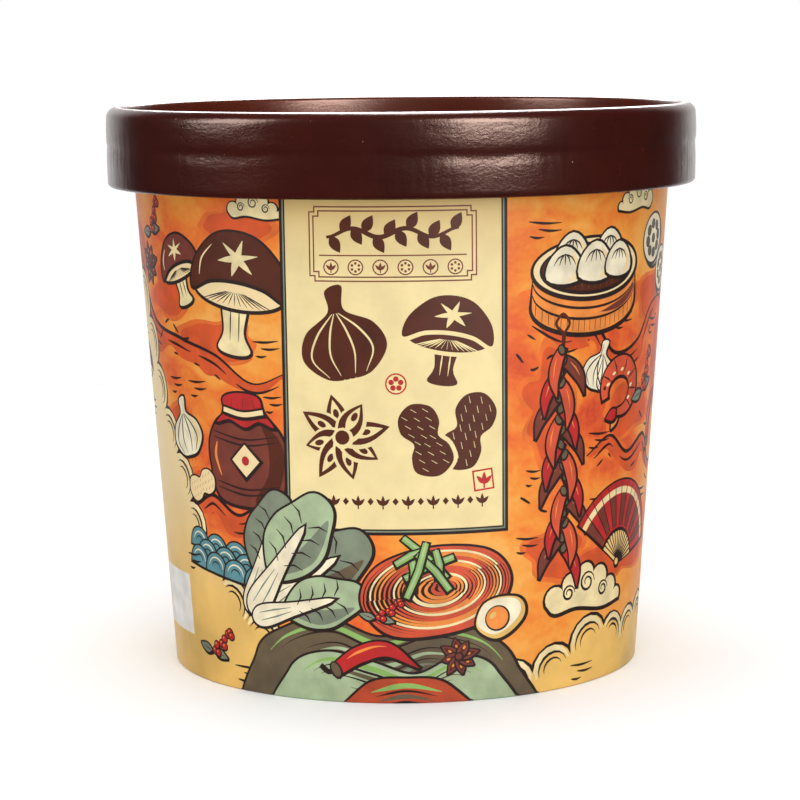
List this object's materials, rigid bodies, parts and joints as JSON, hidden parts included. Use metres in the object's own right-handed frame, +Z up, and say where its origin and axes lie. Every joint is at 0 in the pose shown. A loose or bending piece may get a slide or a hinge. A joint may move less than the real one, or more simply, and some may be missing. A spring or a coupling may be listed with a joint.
{
  "type": "instant noodle cup",
  "caption": "Shut tapered paper cup of instant noodles with a printed wall, a folded foot ring and a deep paper lid whose top is sunk inside its rim.",
  "frame": {"origin": "on the cup's axis, in the plane that its foot ring stands on", "axes": "+Z up along the cup's axis; the label field of the print faces -Y"},
  "size_m": [0.146, 0.146, 0.138],
  "materials": {
    "lid_paper": "dark maroon-brown paper with a glossy coating and fine wrinkles",
    "printed_paper": "satin-coated paper printed in orange, cream, dark brown and grey-green",
    "plain_paper": "uncoated pale board"
  },
  "bodies": {
    "root": {"lid_band": "lid_paper", "lid_disc": "lid_paper", "cup": "printed_paper", "cup_base": "plain_paper"}
  },
  "joints": []
}
